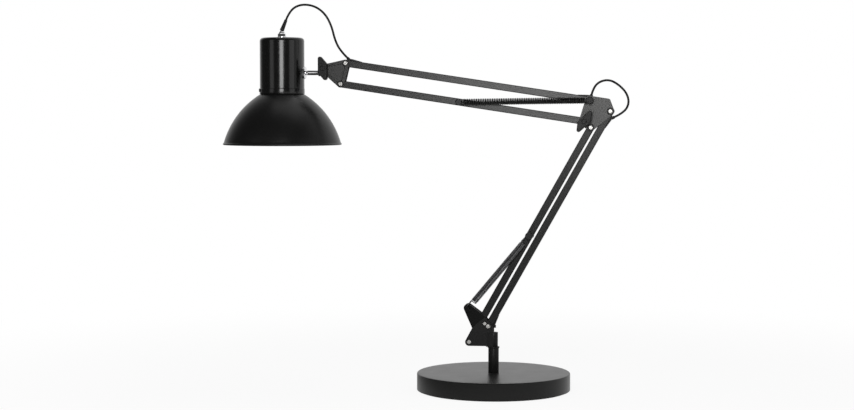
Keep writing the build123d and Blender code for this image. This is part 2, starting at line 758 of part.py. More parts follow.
def biarc(p0, t0, p1, t1):
    """Two arcs that join smoothly from p0 along t0 to p1 along t1, or one straight run."""
    chord = p1 - p0
    if chord.normalized().cross(t0).length < 1e-6 and chord.normalized().cross(t1).length < 1e-6:
        return [Edge.make_line(p0, p1)]
    both = t0 + t1
    bend = 2 * (1 - t0.dot(t1))
    if bend < 1e-9:
        reach = chord.dot(chord) / (4 * chord.dot(t1))
    else:
        reach = (sqrt(chord.dot(both)**2 + bend * chord.dot(chord)) - chord.dot(both)) / bend
    a, b = p0 + t0 * reach, p1 - t1 * reach
    middle = (a + b) * 0.5
    return [Edge.make_tangent_arc(p0, t0, middle),
            Edge.make_tangent_arc(middle, (b - a).normalized(), p1)]


def spring_stations(length, turns, lead, shank):
    """Points and directions along a tension spring lying on +x between studs at 0 and length."""
    hook_from, hook_to = -hook_open_angle, -270.0
    angles = [hook_from + (hook_to - hook_from) * k / 3 for k in range(4)]
    stations = []
    for angle in angles:
        c, s = cos(radians(angle)), sin(radians(angle))
        stations.append((Vector(hook_radius * c, hook_radius * s, 0), Vector(s, -c, 0)))
    stations.append((Vector(shank, hook_radius, 0), Vector(1, 0, 0)))
    total = turns * 360.0 - 2 * coil_start_angle
    spans = round(total / 180)
    rise = (length - 2 * lead) / radians(total)
    for k in range(spans + 1):
        phase = radians(coil_start_angle + total * k / spans)
        x = lead + (length - 2 * lead) * k / spans
        point = Vector(x, spring_radius * cos(phase), spring_radius * sin(phase))
        heading = Vector(rise, -spring_radius * sin(phase), spring_radius * cos(phase))
        stations.append((point, heading.normalized()))
    stations.append((Vector(length - shank, hook_radius, 0), Vector(1, 0, 0)))
    for angle in reversed(angles):
        c, s = cos(radians(180 - angle)), sin(radians(180 - angle))
        stations.append((Vector(length + hook_radius * c, hook_radius * s, 0), Vector(s, -c, 0)))
    return stations


def make_spring(start, end, y, turns, lead, shank):
    length = hypot(end[0] - start[0], end[1] - start[1])
    stations = spring_stations(length, turns, lead, shank)
    edges = []
    for (p0, t0), (p1, t1) in zip(stations, stations[1:]):
        edges += biarc(p0, t0, p1, t1)
    line = Wire(edges)
    coil = sweep(Plane(origin=stations[0][0], z_dir=stations[0][1]) * Circle(wire / 2), path=line)
    print(f"  spring: {turns} curls, least gap to itself {least_gap(edges):.2f} mm,"
          f" volume over section times length {coil.volume / (pi * wire**2 / 4 * line.length):.3f}")
    direction = ((end[0] - start[0]) / length, 0, (end[1] - start[1]) / length)
    return Plane(origin=(start[0], y, start[1]), x_dir=direction, z_dir=(0, -1, 0)) * coil


def least_gap(edges):
    """The least clear distance between parts of the wire more than half a curl apart."""
    points, walked, distance = [], [], 0.0
    for edge in edges:
        for k in range(6):
            spot = edge.position_at(k / 6)
            points.append((spot.X, spot.Y, spot.Z))
            walked.append(distance + edge.length * k / 6)
        distance += edge.length
    points, walked = np.array(points), np.array(walked)
    best = 1e9
    for i, point in enumerate(points):
        apart = walked - walked[i] > pi * spring_radius
        if apart.any():
            best = min(best, np.linalg.norm(points[apart] - point, axis=1).min())
    return best - wire


def make_springs():
    write("upper_spring", make_spring(
        upper_top_elbow, upper_anchor, spring_y_upper, upper_turns, upper_spring_lead, upper_shank))
    write("lower_springs", *[make_spring(
        lever_hook, lower_anchor, y, lower_turns, lower_spring_lead, lower_shank)
        for y in (-spring_y_lower, spring_y_lower)])


# ---- head bracket, knuckle and rod ----

def make_head_bracket():
    outline = rounded_outline([
        circle_at(upper_bottom_head, head_lobe_tube),
        circle_at(upper_top_head, head_lobe_tube),
        circle_at(head_bolt, head_lobe_bolt),
    ])
    holes = ((upper_bottom_head, rivet_radius), (upper_top_head, rivet_radius),
             (head_bolt, head_bolt_radius))
    write("head_plates", *plate_pair(outline, holes))
    write("head_rivets", *[
        rivet(point, rivet_radius, ring_outer) for point in (upper_bottom_head, upper_top_head)])
    washers, rings = [], []
    for point, hole in holes:
        for side in (-1, 1):
            rings.append(washer(point, head_ring_radius, hole, side, plate_outer, ring_outer))
    for point, hole in holes[:2]:
        for side in (-1, 1):
            washers.append(washer(point, washer_radius, hole, side,
                                  half_tube + side_gap, half_tube + side_gap + washer_thick))
    write("head_washers", *washers)
    write("head_rings", *rings)
    write("head_bolt", clamp_bolt(head_bolt, head_bolt_radius))
    write("head_wing_nut", wing_nut(head_bolt, head_bolt_radius, head_wing_angle))
    write("friction_discs", *[
        washer(head_bolt, eye_radius, head_bolt_radius, side,
               plate_inner - side_gap - disc_thick, plate_inner - side_gap) for side in (-1, 1)])


def make_knuckle():
    half = plate_inner - 2 * side_gap - disc_thick
    collar_near = head_bolt[0] - rod_collar_reach + rod_collar_thick
    eye = slab(rounded_outline([
        (head_bolt[0] + 1.0, rod_height - 0.2, rod_stem_radius + 1.4),
        circle_at(head_bolt, eye_radius),
        (collar_near + 1.0, rod_height - rod_stem_radius - 0.6, 1.0),
    ]), -half, half)
    eye -= rod_turned(2 * rod_collar_radius, collar_near - rod_collar_radius, collar_near)
    eye -= bar(head_bolt, head_bolt_radius + running_gap, -half, half)
    eye -= rod_turned(rod_stem_radius, collar_near, collar_near + rod_stem_length)
    write("rod_eye", eye)

    tip = head_axis + housing_radius - rod_tip_depth
    rod = rod_turned(rod_radius, tip, collar_near - rod_collar_thick / 2)
    rod += rod_turned(rod_collar_radius, collar_near - rod_collar_thick, collar_near)
    rod += rod_turned(rod_stem_radius, collar_near, collar_near + rod_stem_length)
    write("chrome_rod", rod)

    nut_start = head_axis + housing_radius - rod_nut_depth
    nut = Plane(origin=(nut_start, 0, rod_height), z_dir=(1, 0, 0)) * hexagon(rod_nut_width, rod_nut_thick)
    write("rod_nut", nut - rod_turned(rod_radius, nut_start, nut_start + rod_nut_thick))


def rod_turned(radius, x_low, x_high):
    return Plane(origin=(x_low, 0, rod_height), z_dir=(1, 0, 0)) * Cylinder(
        radius, x_high - x_low, align=(Align.CENTER, Align.CENTER, Align.MIN))


# ---- head ----

def upright(radius, z_low, z_high):
    return Pos(head_axis, 0, 0) * disc(radius, z_low, z_high)


def make_head():
    inner = housing_radius - housing_wall
    outer = upright(housing_radius, housing_bottom, housing_top)
    outer = fillet(outer.edges().sort_by(Axis.Z)[-1], housing_edge_round)
    outer += upright(housing_radius + band_extra, housing_bottom, housing_bottom + band_height)
    hollow = upright(inner, housing_bottom, housing_top - housing_wall)
    hollow = fillet(hollow.edges().sort_by(Axis.Z)[-1], housing_edge_round - housing_wall)
    housing = outer - hollow - upright(nipple_stem_radius, housing_bottom, housing_top)
    wall_out = head_axis + housing_radius + flange_thick
    housing -= rod_turned(flange_spigot_radius, head_axis + housing_radius - 2 * rod_spigot_depth, wall_out)
    for k in range(screw_count):
        housing -= screw_shape(k, screw_radius, 2 * housing_radius)
    write("head_housing", housing)

    flange = rod_turned(flange_radius, head_axis + housing_radius - rod_spigot_depth, wall_out)
    flange = chamfer(flange.edges().sort_by(Axis.X)[-1], flange_edge)
    flange -= upright(housing_radius, housing_bottom, housing_top)
    flange += rod_turned(flange_spigot_radius, head_axis + housing_radius - rod_spigot_depth, wall_out - 1)
    flange -= rod_turned(rod_radius + running_gap, head_axis, wall_out)
    write("rod_flange", flange)

    write("shade", make_shade())
    screws = []
    for k in range(screw_count):
        head = screw_shape(k, screw_head_radius, housing_radius + band_extra + 1.2)
        head -= upright(housing_radius + band_extra, housing_bottom, housing_top)
        shaft = screw_shape(k, screw_radius, housing_radius + band_extra + 0.3)
        screws.append(head + shaft - upright(inner - neck_gap - shade_wall, housing_bottom, housing_top))
    write("shade_screws", *screws)

    holder = upright(holder_radius, holder_bottom, holder_top)
    holder = chamfer(holder.edges().sort_by(Axis.Z)[-1], holder_chamfer)
    holder += upright(holder_neck_radius, holder_top, holder_neck_top)
    holder -= upright(holder_bore_radius, holder_bottom, holder_bottom + holder_bore_depth)
    holder -= upright(nipple_stem_radius, holder_bottom + holder_bore_depth + contact_height,
                      holder_neck_top)
    write("lampholder", holder)

    cap_bottom = holder_bottom + lamp_cap_gap
    cap_top = cap_bottom + lamp_cap_height
    tip_top = holder_bottom + holder_bore_depth - side_gap
    cap = upright(lamp_cap_radius, cap_bottom, cap_top)
    cap = chamfer(cap.edges().sort_by(Axis.Z)[-1], lamp_cap_chamfer)
    cap -= upright(lamp_cap_radius - lamp_cap_wall, cap_bottom, cap_top - lamp_cap_chamfer - lamp_cap_wall)
    write("bulb_cap", cap + upright(contact_radius, cap_top, tip_top))
    write("bulb", make_bulb(cap_bottom))

    stem_low = holder_neck_top - nipple_stem_grip
    nipple = upright(nipple_radius, housing_top, nipple_top[1])
    nipple = fillet(nipple.edges().sort_by(Axis.Z)[-1], nipple_round)
    nipple += upright(nipple_stem_radius, stem_low, housing_top)
    nipple -= upright(cord_diameter / 2 + neck_gap, stem_low, nipple_top[1])
    write("cord_nipple", nipple)
    write("strain_relief", make_relief())


def screw_shape(k, radius, reach):
    """A radial cylinder from the head's axis outward, for the k-th of the shade's screws."""
    angle = screw_first_angle + 360.0 / screw_count * k
    outward = (cos(radians(angle)), sin(radians(angle)), 0)
    return Plane(origin=(head_axis, 0, screw_height), z_dir=outward) * Cylinder(
        radius, reach, align=(Align.CENTER, Align.CENTER, Align.MIN))


def shade_line(gap):
    """The bowl's generating arc, moved inward by gap: its start, middle and end."""
    top_radius = housing_radius - housing_wall - neck_gap
    mid_r, mid_z = (top_radius + shade_mouth_radius) / 2, (housing_bottom + shade_mouth) / 2
    dr, dz = shade_mouth_radius - top_radius, shade_mouth - housing_bottom
    chord = hypot(dr, dz)
    back = sqrt(shade_arc_radius**2 - (chord / 2)**2)
    centre = (mid_r + back * dz / chord, mid_z - back * dr / chord)
    radius = shade_arc_radius - gap
    start = (top_radius - gap, centre[1] + sqrt(radius**2 - (top_radius - gap - centre[0])**2))
    end = (centre[0] + sqrt(radius**2 - (shade_mouth - centre[1])**2), shade_mouth)
    half = (atan2(start[1] - centre[1], start[0] - centre[0])
            + atan2(end[1] - centre[1], end[0] - centre[0])) / 2
    middle = (centre[0] + radius * cos(half), centre[1] + radius * sin(half))
    return start, middle, end


def make_shade():
    """The spun bowl with its rolled rim, and the neck that slips up inside the housing."""
    (r0, z0), outer_mid, (r2, z2) = shade_line(0)
    (s0, y0), inner_mid, (s2, y2) = shade_line(shade_wall)
    neck_top = housing_bottom + shade_neck_height
    edges = [
        Edge.make_three_point_arc((r0, z0), outer_mid, (r2, z2)),
        Edge.make_line((r2, z2), (s2, y2)),
        Edge.make_three_point_arc((s2, y2), inner_mid, (s0, y0)),
        Edge.make_line((s0, y0), (s0, neck_top)),
        Edge.make_line((s0, neck_top), (r0, neck_top)),
        Edge.make_line((r0, neck_top), (r0, z0)),
    ]
    section = Plane.XZ * make_face(edges)
    rim = Plane.XZ * Pos((r2 + s2) / 2, z2) * Circle(shade_rim)
    shade = revolve(section, Axis.Z) + revolve(rim, Axis.Z)
    shade = Pos(head_axis, 0, 0) * shade
    for k in range(screw_count):
        shade -= screw_shape(k, screw_radius, 2 * housing_radius)
    return shade


def make_bulb(cap_bottom):
    """A hollow pear-shaped glass: a ball that narrows to the open neck in the lamp cap."""
    ball = cap_bottom - glass_length + glass_radius
    return bulb_form(ball, 0, cap_bottom) - bulb_form(ball, glass_wall, cap_bottom)


def bulb_form(ball, gap, neck_top):
    """The bulb's solid of revolution, moved inward by gap and open at the neck."""
    radius, neck = glass_radius - gap, glass_neck_radius - gap
    lean = radians(glass_shoulder_angle)
    shoulder = (radius * cos(lean), ball + radius * sin(lean))
    neck_low = neck_top - glass_neck_length
    edges = [
        Edge.make_three_point_arc((0, ball - radius), (radius * cos(lean), ball - radius * sin(lean)),
                                  shoulder),
        Edge.make_line(shoulder, (neck, neck_low)),
        Edge.make_line((neck, neck_low), (neck, neck_top)),
        Edge.make_line((neck, neck_top), (0, neck_top)),
        Edge.make_line((0, neck_top), (0, ball - radius)),
    ]
    return Pos(head_axis, 0, 0) * revolve(Plane.XZ * make_face(edges), Axis.Z)


def make_relief():
    """The tapered strain relief, leaning the way the cord leaves, cut flat on the nipple."""
    lean = Vector(cos(radians(relief_lean)), 0, sin(radians(relief_lean)))
    sunk = relief_foot_radius / tan(radians(relief_lean))
    long = relief_length + sunk
    cone = Plane(origin=Vector(relief_tip[0], 0, relief_tip[1]) - lean * long, z_dir=lean) * Cone(
        relief_foot_radius, relief_tip_radius, long, align=(Align.CENTER, Align.CENTER, Align.MIN))
    below = upright(2 * nipple_radius, housing_top, nipple_top[1])
    return cone - below


# ---- free cord ----

def cord_loop(route):
    """A tube of straight runs joined by arcs as large as the runs beside each corner allow."""
    points = [Vector(x, 0, z) for x, z in route]
    radii = []
    for before, corner, after in zip(points, points[1:], points[2:]):
        run = min((corner - before).length, (after - corner).length)
        turn = (corner - before).get_angle(after - corner)
        radii.append(0.45 * run / tan(radians(turn / 2)))
    path = FilletPolyline(*points, radius=radii)
    line = path.wire() if hasattr(path, "wire") else Wire(path.edges())
    start = Plane(origin=points[0], z_dir=points[1] - points[0])
    tube = sweep(start * Circle(cord_diameter / 2), path=line)
    section = pi * cord_diameter**2 / 4
    print(f"  cord: length {line.length:.1f} mm, radii {[round(r, 1) for r in radii]},"
          f" volume over section times length {tube.volume / (section * line.length):.3f}")
    return tube


def make_cords():
    write("head_cord", cord_loop(head_cord_route))
    write("elbow_cord", cord_loop(elbow_cord_route))


make_base()
make_socket()
make_bracket()
make_lower_arm()
make_elbow()
make_upper_arm()
make_head_bracket()
make_knuckle()
make_head()
make_cords()
make_springs()
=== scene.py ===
import json
import math

import bmesh
import bpy
from mathutils import Matrix, Vector


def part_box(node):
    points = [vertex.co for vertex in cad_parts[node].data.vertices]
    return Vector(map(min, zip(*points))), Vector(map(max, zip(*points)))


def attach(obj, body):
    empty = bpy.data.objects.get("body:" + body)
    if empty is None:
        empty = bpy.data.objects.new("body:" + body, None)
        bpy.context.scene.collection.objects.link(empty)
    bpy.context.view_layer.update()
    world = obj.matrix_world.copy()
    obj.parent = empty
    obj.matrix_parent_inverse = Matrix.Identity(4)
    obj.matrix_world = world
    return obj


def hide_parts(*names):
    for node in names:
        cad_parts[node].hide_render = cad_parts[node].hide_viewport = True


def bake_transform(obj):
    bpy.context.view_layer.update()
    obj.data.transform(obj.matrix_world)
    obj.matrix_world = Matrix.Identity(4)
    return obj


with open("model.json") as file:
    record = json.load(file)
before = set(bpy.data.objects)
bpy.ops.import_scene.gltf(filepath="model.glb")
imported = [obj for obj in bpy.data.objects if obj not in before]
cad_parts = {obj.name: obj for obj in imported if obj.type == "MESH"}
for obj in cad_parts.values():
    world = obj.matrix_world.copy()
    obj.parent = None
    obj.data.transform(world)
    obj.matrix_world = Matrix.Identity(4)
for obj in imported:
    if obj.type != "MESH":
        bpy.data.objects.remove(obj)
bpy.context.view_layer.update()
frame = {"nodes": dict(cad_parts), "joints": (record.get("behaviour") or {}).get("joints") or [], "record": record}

bpy.context.scene.view_settings.view_transform = "Standard"
pivots = {joint["name"]: Vector(joint["pos_m"]) for joint in frame["joints"]}
slots = {part["node"]: part["material_slot"] for part in frame["record"]["subparts"]}
print("frame loaded:", len(frame["nodes"]), "nodes")


# where the lamp is seen from, in metres and millimetres of lens, looking slightly down, in degrees
camera = {"place": (0.28693, -2.61300, 0.40884), "azimuth": 8.333, "down": 3.158,
          "lens": 78.2, "sensor": 36.0}


def addCamera():
    data = bpy.data.cameras.new("viewCamera")
    data.lens, data.sensor_width = camera["lens"], camera["sensor"]
    seen = bpy.data.objects.new("viewCamera", data)
    seen.location = camera["place"]
    seen.rotation_euler = (
        math.radians(90 - camera["down"]), 0, math.radians(camera["azimuth"]))
    bpy.context.collection.objects.link(seen)
    bpy.context.scene.camera = seen
    print("camera placed")


class Wire:
    # one output of a shader tree; sums and products on it add Math nodes
    def __init__(self, shading, socket):
        self.shading, self.socket = shading, socket

    def mathWith(self, operation, first, second):
        return self.shading.make(
            "ShaderNodeMath", {"operation": operation}, {0: first, 1: second})

    def __add__(self, other): return self.mathWith("ADD", self, other)
    def __radd__(self, other): return self.mathWith("ADD", other, self)
    def __sub__(self, other): return self.mathWith("SUBTRACT", self, other)
    def __rsub__(self, other): return self.mathWith("SUBTRACT", other, self)
    def __mul__(self, other): return self.mathWith("MULTIPLY", self, other)
    def __rmul__(self, other): return self.mathWith("MULTIPLY", other, self)
    def __gt__(self, other): return self.mathWith("GREATER_THAN", self, other)


class Shading:
    # one tree of shader nodes, of a material or of the world
    def __init__(self, owner):
        owner.use_nodes = True
        self.owner, self.tree = owner, owner.node_tree
        self.tree.nodes.clear()

    def make(self, kind, settings=None, sockets=None, output=0):
        # any node: its settings first, then a value or a wire for each socket
        node = self.tree.nodes.new(kind)
        for name, value in (settings or {}).items():
            setattr(node, name, value)
        for name, value in (sockets or {}).items():
            if isinstance(value, Wire):
                self.tree.links.new(value.socket, node.inputs[name])
            else:
                node.inputs[name].default_value = value
        return Wire(self, node.outputs[output]) if len(node.outputs) else None

    def place(self):
        return self.make("ShaderNodeTexCoord", output="Object")

    def noise(self, scale, detail=2.0, rough=0.5):
        return self.make("ShaderNodeTexNoise", None, {
            "Vector": self.place(), "Scale": scale, "Detail": detail, "Roughness": rough})

    def cells(self, scale):
        return self.make("ShaderNodeTexVoronoi", None, {
            "Vector": self.place(), "Scale": scale}, "Distance")

    def vectors(self, operation, sockets, output="Vector"):
        return self.make("ShaderNodeVectorMath", {"operation": operation}, sockets, output)

    def between(self, share, low, high):
        # a colour from low to high as share goes from 0 to 1
        ends = [end if isinstance(end, Wire) else (*end, 1) for end in (low, high)]
        return self.make("ShaderNodeMix", {"data_type": "RGBA"}, {
            "Factor": share, 6: ends[0], 7: ends[1]}, 2)

    def ramp(self, value, low, high, start=0.0, end=1.0):
        # start below low, end above high, and a soft step between them
        return self.make("ShaderNodeMapRange", {"interpolation_type": "SMOOTHSTEP"}, {
            "Value": value, "From Min": low, "From Max": high, "To Min": start, "To Max": end})

    def bumped(self, height, depth, strength):
        return self.make("ShaderNodeBump", None, {
            "Height": height, "Distance": depth, "Strength": strength})

    def surface(self, **sockets):
        names = {"color": "Base Color", "rough": "Roughness", "metal": "Metallic",
                 "normal": "Normal", "ior": "IOR", "gloss": "Specular IOR Level",
                 "through": "Transmission Weight"}
        given = {names[name]: value for name, value in sockets.items()}
        self.close(self.make("ShaderNodeBsdfPrincipled", None, given))
        return self.owner

    def close(self, shader):
        self.make("ShaderNodeOutputMaterial", None, {"Surface": shader})

    def anyRay(self, *kinds):
        # 1 for rays of these kinds and 0 for the others
        total = 0
        for kind in kinds:
            total = self.make("ShaderNodeLightPath", output=kind) + total
        return total > 0.5


def newFinish(name):
    return Shading(bpy.data.materials.new(name))


# powder coats: darkest and lightest colour, roughness, size and depth of the ripple, and gloss
lacquers = {
    "baseLacquer": {"dark": (0.0120, 0.0120, 0.0117), "light": (0.0180, 0.0180, 0.0175),
                    "rough": 0.33, "grain": 1500.0, "depth": 0.000018, "gloss": 0.17},
    "armLacquer": {"dark": (0.014, 0.014, 0.0137), "light": (0.021, 0.021, 0.0205),
                   "rough": 0.30, "grain": 1700.0, "depth": 0.000016, "gloss": 0.30},
    # the arm paint made darker for the lower arm: painted shade, as the lower tubes take less light
    "lowerArmShadedLacquer": {"dark": (0.0065, 0.0065, 0.0063), "light": (0.0105, 0.0105, 0.0102),
                        "rough": 0.30, "grain": 1700.0, "depth": 0.000016, "gloss": 0.19},
    # the arm paint darker and rougher for the bracket, post and pin: the darker colour is painted shade low on the
    # stand
    "bracketShadedLacquer": {"dark": (0.006, 0.006, 0.006), "light": (0.009, 0.009, 0.0088),
                       "rough": 0.42, "grain": 1700.0, "depth": 0.000022, "gloss": 0.15},
    # darker, glossier black for the spring levers, shared by their pegs: painted shade where the levers sit behind
    # the bracket
    "leverShadedLacquer": {"dark": (0.0030, 0.0030, 0.0030), "light": (0.0048, 0.0048, 0.0047),
                     "rough": 0.26, "grain": 1700.0, "depth": 0.000014, "gloss": 0.10},
    "plateLacquer": {"dark": (0.022, 0.022, 0.0215), "light": (0.030, 0.030, 0.029),
                     "rough": 0.50, "grain": 1400.0, "depth": 0.000030, "gloss": 0.35},
    "elbowLacquer": {"dark": (0.046, 0.046, 0.0445), "light": (0.062, 0.0615, 0.060),
                     "rough": 0.46, "grain": 1400.0, "depth": 0.000030, "gloss": 0.40},
    "housingLacquer": {"dark": (0.0036, 0.0036, 0.0036), "light": (0.0052, 0.0052, 0.0050),
                       "rough": 0.17, "grain": 900.0, "depth": 0.000006, "gloss": 0.30},
    "shadeLacquer": {"dark": (0.0040, 0.0040, 0.0040), "light": (0.0060, 0.0060, 0.0058),
                     "rough": 0.33, "grain": 1100.0, "depth": 0.000010, "gloss": 0.20},
    "whiteEnamel": {"dark": (0.80, 0.80, 0.78), "light": (0.86, 0.86, 0.84),
                    "rough": 0.34, "grain": 1100.0, "depth": 0.000010, "gloss": 0.5},
}
# what all powder coats share: cloud and flecks, and how far they move roughness, tint and bumps
powder = {"cloud": 38.0, "cloudDetail": 4.0, "rippleDetail": 3.0, "fleck": 0.8,
          "cloudRough": 0.07, "rippleRough": 0.05, "cloudTint": 0.6, "rippleBump": 0.7,
          "bump": 0.6}


def lacquer(name, title=None, line=None):
    # line is a tube's middle, a point and a direction, and painted shade darkens the coat along the corners
    coat = lacquers[name]
    made = newFinish(title or name)
    ripple = made.noise(coat["grain"], powder["rippleDetail"])
    cloud = made.noise(powder["cloud"], powder["cloudDetail"])
    fleck = made.cells(coat["grain"] * powder["fleck"])
    rough = (coat["rough"] + powder["cloudRough"] * (cloud - 0.5)
             + powder["rippleRough"] * (ripple - 0.5))
    tint = powder["cloudTint"] * cloud + (1 - powder["cloudTint"]) * ripple
    color = made.between(tint, coat["dark"], coat["light"])
    if line:
        corner = cornerOf(made, *line)
        # painted shade: the colour darkens along the tube's corners
        color = made.between(corner, color, tubeCornerShade["dark"])
        rough = rough + tubeCornerShade["rougher"] * corner
    grain = powder["rippleBump"] * ripple + (1 - powder["rippleBump"]) * fleck
    return made.surface(color=color, rough=rough, gloss=coat["gloss"],
                        normal=made.bumped(grain, coat["depth"], powder["bump"]))


# painted shade along a tube's corners, which also makes the coat rougher there, measured from the tube's middle,
# in metres
tubeCornerShade = {"from": 0.0036, "to": 0.0047, "dark": (0.0035, 0.0035, 0.0035), "rougher": 0.22}


def cornerOf(made, point, along):
    # where the painted shade goes: 1 along the four corners of a square tube and 0 on the rest of it
    offset = made.vectors("SUBTRACT", {0: made.place(), 1: tuple(point)})
    near = []
    for square in ((-along.z, 0, along.x), (0, 1, 0)):
        side = made.vectors("DOT_PRODUCT", {0: offset, 1: square}, "Value")
        distance = made.make("ShaderNodeMath", {"operation": "ABSOLUTE"}, {0: side})
        near.append(made.ramp(distance, tubeCornerShade["from"], tubeCornerShade["to"]))
    return near[0] * near[1]


# moulded plastics and rubbers, with the same values as the powder coats
mouldings = {
    "nylon": {"dark": (0.0045, 0.0045, 0.0046), "light": (0.0080, 0.0080, 0.0082),
              "rough": 0.44, "grain": 2200.0, "depth": 0.000020, "gloss": 0.20},
    "phenolic": {"dark": (0.010, 0.009, 0.008), "light": (0.018, 0.016, 0.014),
                 "rough": 0.28, "grain": 700.0, "depth": 0.000010, "gloss": 0.5},
    "cordSheath": {"dark": (0.0035, 0.0035, 0.0036), "light": (0.0065, 0.0065, 0.0066),
                   "rough": 0.46, "grain": 1300.0, "depth": 0.000018, "gloss": 0.18},
    "springBlack": {"dark": (0.0035, 0.0035, 0.0035), "light": (0.0075, 0.0075, 0.0074),
                    "rough": 0.34, "grain": 1800.0, "depth": 0.000014, "gloss": 0.22},
    "padRubber": {"dark": (0.018, 0.018, 0.018), "light": (0.034, 0.034, 0.034),
                  "rough": 0.85, "grain": 900.0, "depth": 0.000120, "gloss": 0.25},
}
resin = {"flow": 120.0, "flowDetail": 5.0, "flowRough": 0.6, "spread": 0.10, "bump": 0.5}


def moulding(name):
    mix = mouldings[name]
    made = newFinish(name)
    spark = made.cells(mix["grain"])
    flow = made.noise(resin["flow"], resin["flowDetail"], resin["flowRough"])
    return made.surface(
        color=made.between(flow, mix["dark"], mix["light"]),
        rough=mix["rough"] + resin["spread"] * (flow - 0.5), gloss=mix["gloss"],
        normal=made.bumped(spark, mix["depth"], resin["bump"]))


# bright and bare metals, where spread is how far tarnish and scratches add to the roughness
metals = {
    "chromePlate": {"dark": (0.62, 0.62, 0.63), "light": (0.80, 0.80, 0.81),
                    "rough": 0.07, "spread": 0.06, "grain": 420.0, "depth": 0.000006},
    "nickelPlate": {"dark": (0.26, 0.255, 0.245), "light": (0.46, 0.455, 0.44),
                    "rough": 0.34, "spread": 0.18, "grain": 900.0, "depth": 0.000030},
    "zincPlate": {"dark": (0.34, 0.34, 0.34), "light": (0.56, 0.56, 0.57),
                  "rough": 0.34, "spread": 0.16, "grain": 700.0, "depth": 0.000020},
    "springWire": {"dark": (0.007, 0.007, 0.007), "light": (0.030, 0.030, 0.031),
                   "rough": 0.32, "spread": 0.14, "grain": 1500.0, "depth": 0.000012},
    "springBright": {"dark": (0.06, 0.06, 0.061), "light": (0.24, 0.24, 0.245),
                     "rough": 0.24, "spread": 0.12, "grain": 1500.0, "depth": 0.000012},
    "castIron": {"dark": (0.060, 0.057, 0.054), "light": (0.140, 0.133, 0.127),
                 "rough": 0.70, "spread": 0.20, "grain": 350.0, "depth": 0.000300},
}
wear = {"tarnish": 0.2, "tarnishDetail": 4.0, "tarnishRough": 0.6, "scratchDetail": 6.0,
        "scratchRough": 0.7, "bump": 0.5}


def metal(name):
    bar = metals[name]
    made = newFinish(name)
    tarnish = made.noise(bar["grain"] * wear["tarnish"], wear["tarnishDetail"],
                         wear["tarnishRough"])
    scratch = made.noise(bar["grain"], wear["scratchDetail"], wear["scratchRough"])
    return made.surface(
        color=made.between(tarnish, bar["dark"], bar["light"]), metal=1.0,
        rough=bar["rough"] + bar["spread"] * tarnish * scratch,
        normal=made.bumped(scratch, bar["depth"], wear["bump"]))


# frosted glass of the bulb
glass = {"dark": (0.86, 0.86, 0.84), "light": (0.94, 0.94, 0.92), "rough": 0.42, "spread": 0.12,
         "frost": 1800.0, "cloud": 60.0, "ior": 1.48, "through": 0.35, "depth": 0.000010,
         "bump": 0.4}


def frostedGlass():
    made = newFinish("frostedGlass")
    frost = made.noise(glass["frost"])
    cloud = made.noise(glass["cloud"])
    return made.surface(
        color=made.between(cloud, glass["dark"], glass["light"]),
        rough=glass["rough"] + glass["spread"] * (frost - 0.5),
        ior=glass["ior"], through=glass["through"],
        normal=made.bumped(frost, glass["depth"], glass["bump"]))


finishes = {name: lacquer(name) for name in lacquers}
finishes.update({name: moulding(name) for name in mouldings})
finishes.update({name: metal(name) for name in metals})
finishes["frostedGlass"] = frostedGlass()
print("finishes made:", len(finishes))

finishOfSlot = {
    "black_lacquer": "armLacquer", "gloss_black": "shadeLacquer", "grey_lacquer": "elbowLacquer",
    "nickel": "nickelPlate", "chrome": "chromePlate", "zinc": "zincPlate",
    "black_plastic": "nylon", "bakelite": "phenolic", "spring_steel": "springWire",
    "cord_rubber": "cordSheath", "pad_rubber": "padRubber", "iron": "castIron",
    "frosted_glass": "frostedGlass",
}
# nodes whose finish differs from the others of their slot; the bracket's and the levers' are darkened as painted
# shade
finishOfNode = {
    "base_cover": "baseLacquer", "socket_tube": "bracketShadedLacquer", "swivel_pin": "bracketShadedLacquer",
    "bracket_shell": "bracketShadedLacquer", "spring_levers": "leverShadedLacquer",
    "head_plates": "plateLacquer", "head_housing": "housingLacquer", "lever_pegs": "leverShadedLacquer",
}
# the tubes of a pair are parallel: full runs between the two pivots in ends, other from start; the lower pair's
# coat is the arm paint darkened as painted shade
tubePairs = [
    {"full": "lower_right_tube", "ends": ("shoulder", "elbow_pivot"),
     "other": "lower_left_tube", "start": "lower_left_pivot", "coat": "lowerArmShadedLacquer"},
    {"full": "upper_top_tube", "ends": ("upper_arm", "head_bracket_pivot"),
     "other": "upper_bottom_tube", "start": "upper_bottom_pivot", "coat": "armLacquer"},
]


def dressTubes():
    for pair in tubePairs:
        start, end = [pivots[joint] for joint in pair["ends"]]
        along = (end - start).normalized()
        for name, point in ((pair["full"], start), (pair["other"], pivots[pair["start"]])):
            # each tube gets its own coat, with painted shade along its corners
            finishes[name] = lacquer(pair["coat"], name + "Lacquer", (point, along))
            finishOfNode[name] = name


def dressNodes():
    for name, node in frame["nodes"].items():
        finish = finishOfNode.get(name, finishOfSlot[slots[name]])
        node.data.materials.clear()
        node.data.materials.append(finishes[finish])
    print("nodes dressed:", len(frame["nodes"]))


